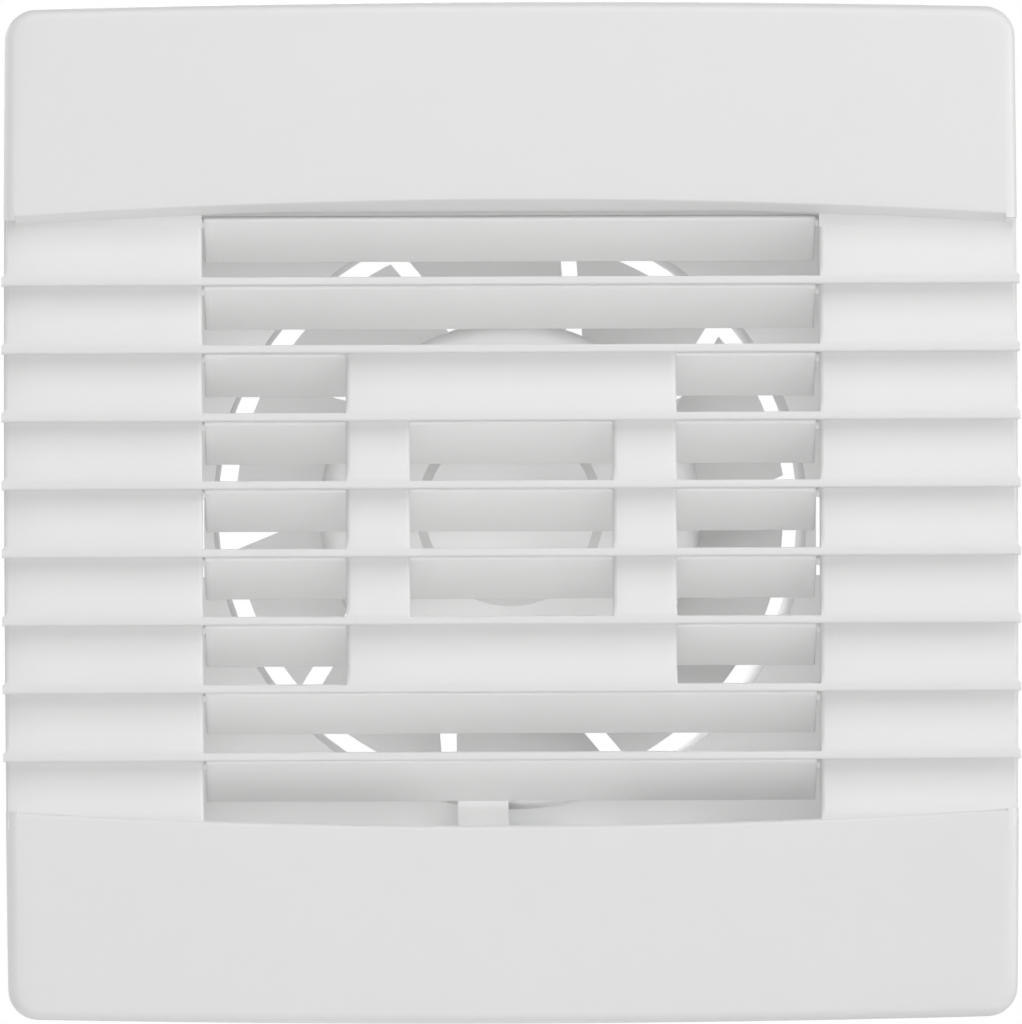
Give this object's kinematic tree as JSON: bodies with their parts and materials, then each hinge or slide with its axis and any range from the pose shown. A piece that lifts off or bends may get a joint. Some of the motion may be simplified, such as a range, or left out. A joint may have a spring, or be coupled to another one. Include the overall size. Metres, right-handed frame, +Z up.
{
  "type": "wall exhaust fan",
  "caption": "Square wall exhaust fan: louvred front grille with linked shutter blades, axial impeller on a shaded-pole motor, and a round spigot that plugs into a duct.",
  "frame": {"origin": "duct axis in the wall plane, at the centre of the four wall screws", "axes": "+Y along the duct axis into the wall, +X to the right as seen from the room, +Z up"},
  "size_m": [0.1606, 0.086, 0.161],
  "materials": {
    "grille_plastic": "satin moulded white plastic",
    "shutter_plastic": "satin moulded white plastic",
    "body_plastic": "moulded off-white plastic",
    "impeller_plastic": "moulded off-white plastic",
    "spring_steel": "blued spring steel",
    "ground_steel": "ground steel",
    "lamination": "varnished electrical steel",
    "cast_aluminium": "die-cast",
    "fibre": "fibre washer",
    "copper": "enamelled copper",
    "nylon": "natural nylon",
    "tape": "polyester tape",
    "fuse_body": "moulded sleeve",
    "bronze": "sintered bronze",
    "felt": "oiled felt",
    "zinc_steel": "zinc plated",
    "grey_rubber": "moulded rubber",
    "brown_insulation": "soft insulation",
    "blue_insulation": "soft insulation",
    "terminal_plastic": "moulded polyamide",
    "brass": "turned brass"
  },
  "bodies": {
    "housing": {"front_grille": "grille_plastic", "fan_body": "body_plastic", "lead_channel_cover": "body_plastic", "terminal_cover": "body_plastic", "cable_clamp": "body_plastic", "bearing_retainers": "spring_steel", "stator_stack": "lamination", "coil_core": "lamination", "front_bracket": "cast_aluminium", "rear_bracket": "cast_aluminium", "shading_rings": "copper", "coil_winding": "copper", "coil_bobbin": "nylon", "coil_tape": "tape", "thermal_fuse": "fuse_body", "front_bearing": "bronze", "rear_bearing": "bronze", "felt_rings": "felt", "bracket_bolts": "zinc_steel", "bracket_nuts": "zinc_steel", "motor_mount_screws": "zinc_steel", "terminal_screws": "zinc_steel", "terminal_block_screw": "zinc_steel", "terminal_cover_screw": "zinc_steel", "cable_clamp_screws": "zinc_steel", "motor_grommets": "grey_rubber", "cable_grommet": "grey_rubber", "live_lead": "brown_insulation", "neutral_lead": "blue_insulation", "terminal_block": "terminal_plastic", "terminal_inserts": "brass"},
    "rotor": {"impeller": "impeller_plastic", "impeller_clip": "spring_steel", "motor_shaft": "ground_steel", "rotor_core": "lamination", "rotor_end_rings": "cast_aluminium", "shaft_spacers": "ground_steel", "thrust_washers": "fibre"},
    "shutter_1": {"shutter_blade_1": "shutter_plastic"},
    "shutter_2": {"shutter_blade_2": "shutter_plastic"},
    "shutter_3": {"shutter_blade_3": "shutter_plastic"},
    "shutter_4": {"shutter_blade_4": "shutter_plastic"},
    "shutter_5": {"shutter_blade_5": "shutter_plastic"},
    "shutter_6": {"shutter_blade_6": "shutter_plastic"},
    "shutter_7": {"shutter_blade_7": "shutter_plastic"},
    "shutter_8": {"shutter_blade_8": "shutter_plastic"},
    "shutter_9": {"shutter_blade_9": "shutter_plastic"},
    "link": {"shutter_link": "shutter_plastic"}
  },
  "joints": [
    {"name": "impeller_spin", "type": "hinge", "parent": "housing", "child": "rotor", "pos_m": [0, 0, 0], "axis": [0, 1, 0], "continuous": true},
    {"name": "shutter_1_swing", "type": "hinge", "parent": "housing", "child": "shutter_1", "pos_m": [0, -0.0244, 0.046], "axis": [1, 0, 0], "range_deg": [-51, 0]},
    {"name": "shutter_2_swing", "type": "hinge", "parent": "housing", "child": "shutter_2", "pos_m": [0, -0.0244, 0.0353], "axis": [1, 0, 0], "range_deg": [-51, 0]},
    {"name": "shutter_3_swing", "type": "hinge", "parent": "housing", "child": "shutter_3", "pos_m": [0, -0.0244, 0.0246], "axis": [1, 0, 0], "range_deg": [-51, 0]},
    {"name": "shutter_4_swing", "type": "hinge", "parent": "housing", "child": "shutter_4", "pos_m": [0, -0.0244, 0.0139], "axis": [1, 0, 0], "range_deg": [-51, 0]},
    {"name": "shutter_5_swing", "type": "hinge", "parent": "housing", "child": "shutter_5", "pos_m": [0, -0.0244, 0.0032], "axis": [1, 0, 0], "range_deg": [-51, 0]},
    {"name": "shutter_6_swing", "type": "hinge", "parent": "housing", "child": "shutter_6", "pos_m": [0, -0.0244, -0.0075], "axis": [1, 0, 0], "range_deg": [-51, 0]},
    {"name": "shutter_7_swing", "type": "hinge", "parent": "housing", "child": "shutter_7", "pos_m": [0, -0.0244, -0.0182], "axis": [1, 0, 0], "range_deg": [-51, 0]},
    {"name": "shutter_8_swing", "type": "hinge", "parent": "housing", "child": "shutter_8", "pos_m": [0, -0.0244, -0.0289], "axis": [1, 0, 0], "range_deg": [-51, 0]},
    {"name": "shutter_9_swing", "type": "hinge", "parent": "housing", "child": "shutter_9", "pos_m": [0, -0.0244, -0.0396], "axis": [1, 0, 0], "range_deg": [-51, 0]},
    {"name": "link_pivot", "type": "hinge", "parent": "shutter_1", "child": "link", "pos_m": [0.0535, -0.01987, 0.04811], "axis": [1, 0, 0], "range_deg": [0, 51]}
  ],
  "couplings": [
    {"joint": "shutter_2_swing", "follows": "shutter_1_swing", "ratio": 1},
    {"joint": "shutter_3_swing", "follows": "shutter_1_swing", "ratio": 1},
    {"joint": "shutter_4_swing", "follows": "shutter_1_swing", "ratio": 1},
    {"joint": "shutter_5_swing", "follows": "shutter_1_swing", "ratio": 1},
    {"joint": "shutter_6_swing", "follows": "shutter_1_swing", "ratio": 1},
    {"joint": "shutter_7_swing", "follows": "shutter_1_swing", "ratio": 1},
    {"joint": "shutter_8_swing", "follows": "shutter_1_swing", "ratio": 1},
    {"joint": "shutter_9_swing", "follows": "shutter_1_swing", "ratio": 1},
    {"joint": "link_pivot", "follows": "shutter_1_swing", "ratio": -1}
  ]
}
